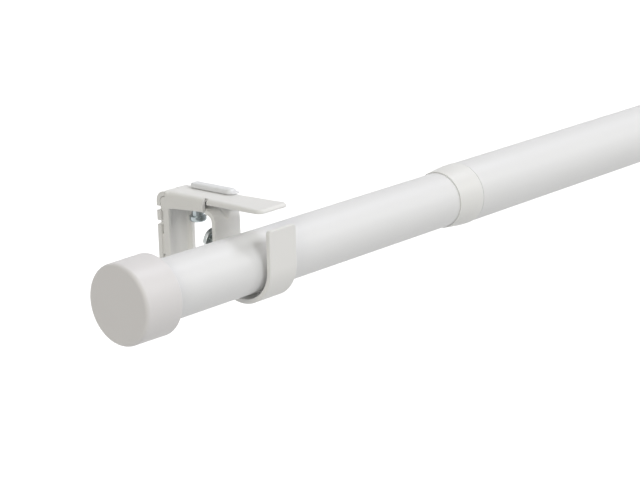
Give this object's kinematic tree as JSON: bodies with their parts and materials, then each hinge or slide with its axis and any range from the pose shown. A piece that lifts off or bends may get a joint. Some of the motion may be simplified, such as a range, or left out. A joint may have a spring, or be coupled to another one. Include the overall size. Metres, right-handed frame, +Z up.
{
  "type": "curtain rod with brackets",
  "caption": "White telescopic curtain rod with end caps and a step-down collar, held in two wall brackets with adjustable hooks.",
  "frame": {"origin": "middle of the left wall plate's back face, where the bracket meets the wall", "axes": "+X along the rod from the left bracket to the right one, +Y into the wall, +Z up"},
  "size_m": [1.3686, 0.0653, 0.0572],
  "materials": {
    "coated_steel": "white powder coat, satin, with a very fine texture",
    "white_plastic": "warm white moulded plastic, satin",
    "clip_plastic": "white moulded plastic, slightly glossy",
    "zinc_steel": "bright zinc-plated steel, turned"
  },
  "bodies": {
    "wall_frames": {"left_wall_plate": "coated_steel", "left_frame": "coated_steel", "left_clamp_nut": "zinc_steel", "left_edge_clip": "clip_plastic", "right_wall_plate": "coated_steel", "right_frame": "coated_steel", "right_clamp_nut": "zinc_steel", "right_edge_clip": "clip_plastic"},
    "left_hook": {"left_hook": "coated_steel"},
    "right_hook": {"right_hook": "coated_steel"},
    "thick_rod": {"thick_tube": "coated_steel", "collar": "white_plastic"},
    "thin_rod": {"thin_tube": "coated_steel", "glide_plug": "white_plastic"},
    "left_cap": {"left_cap": "white_plastic"},
    "right_cap": {"right_cap": "white_plastic"},
    "left_clamp_screw": {"left_clamp_screw": "zinc_steel"},
    "right_clamp_screw": {"right_clamp_screw": "zinc_steel"},
    "left_tube_screw": {"left_tube_screw": "zinc_steel"},
    "right_tube_screw": {"right_tube_screw": "zinc_steel"}
  },
  "joints": [
    {"name": "left_depth", "type": "slide", "parent": "wall_frames", "child": "left_hook", "axis": [0, 1, 0], "range_m": [-0.007, 0.001]},
    {"name": "right_depth", "type": "slide", "parent": "wall_frames", "child": "right_hook", "axis": [0, 1, 0], "range_m": [-0.007, 0.001]},
    {"name": "rod_shift", "type": "slide", "parent": "left_hook", "child": "thick_rod", "axis": [1, 0, 0], "range_m": [-0.02, 0.02]},
    {"name": "telescope", "type": "slide", "parent": "thick_rod", "child": "thin_rod", "axis": [1, 0, 0], "range_m": [-0.67, 0.02]},
    {"name": "left_cap_pull", "type": "slide", "parent": "thin_rod", "child": "left_cap", "axis": [-1, 0, 0], "range_m": [0, 0.03]},
    {"name": "right_cap_pull", "type": "slide", "parent": "thick_rod", "child": "right_cap", "axis": [1, 0, 0], "range_m": [0, 0.03]},
    {"name": "left_clamp_turn_out", "type": "slide", "parent": "wall_frames", "child": "left_clamp_screw", "axis": [0, 0, -1], "range_m": [0, 0.0012]},
    {"name": "right_clamp_turn_out", "type": "slide", "parent": "wall_frames", "child": "right_clamp_screw", "axis": [0, 0, -1], "range_m": [0, 0.0012]},
    {"name": "left_tube_screw_turn_out", "type": "slide", "parent": "left_hook", "child": "left_tube_screw", "axis": [0, 1, 0], "range_m": [0, 0.003]},
    {"name": "right_tube_screw_turn_out", "type": "slide", "parent": "right_hook", "child": "right_tube_screw", "axis": [0, 1, 0], "range_m": [0, 0.003]}
  ],
  "couplings": [
    {"joint": "right_depth", "follows": "left_depth", "ratio": 1}
  ]
}
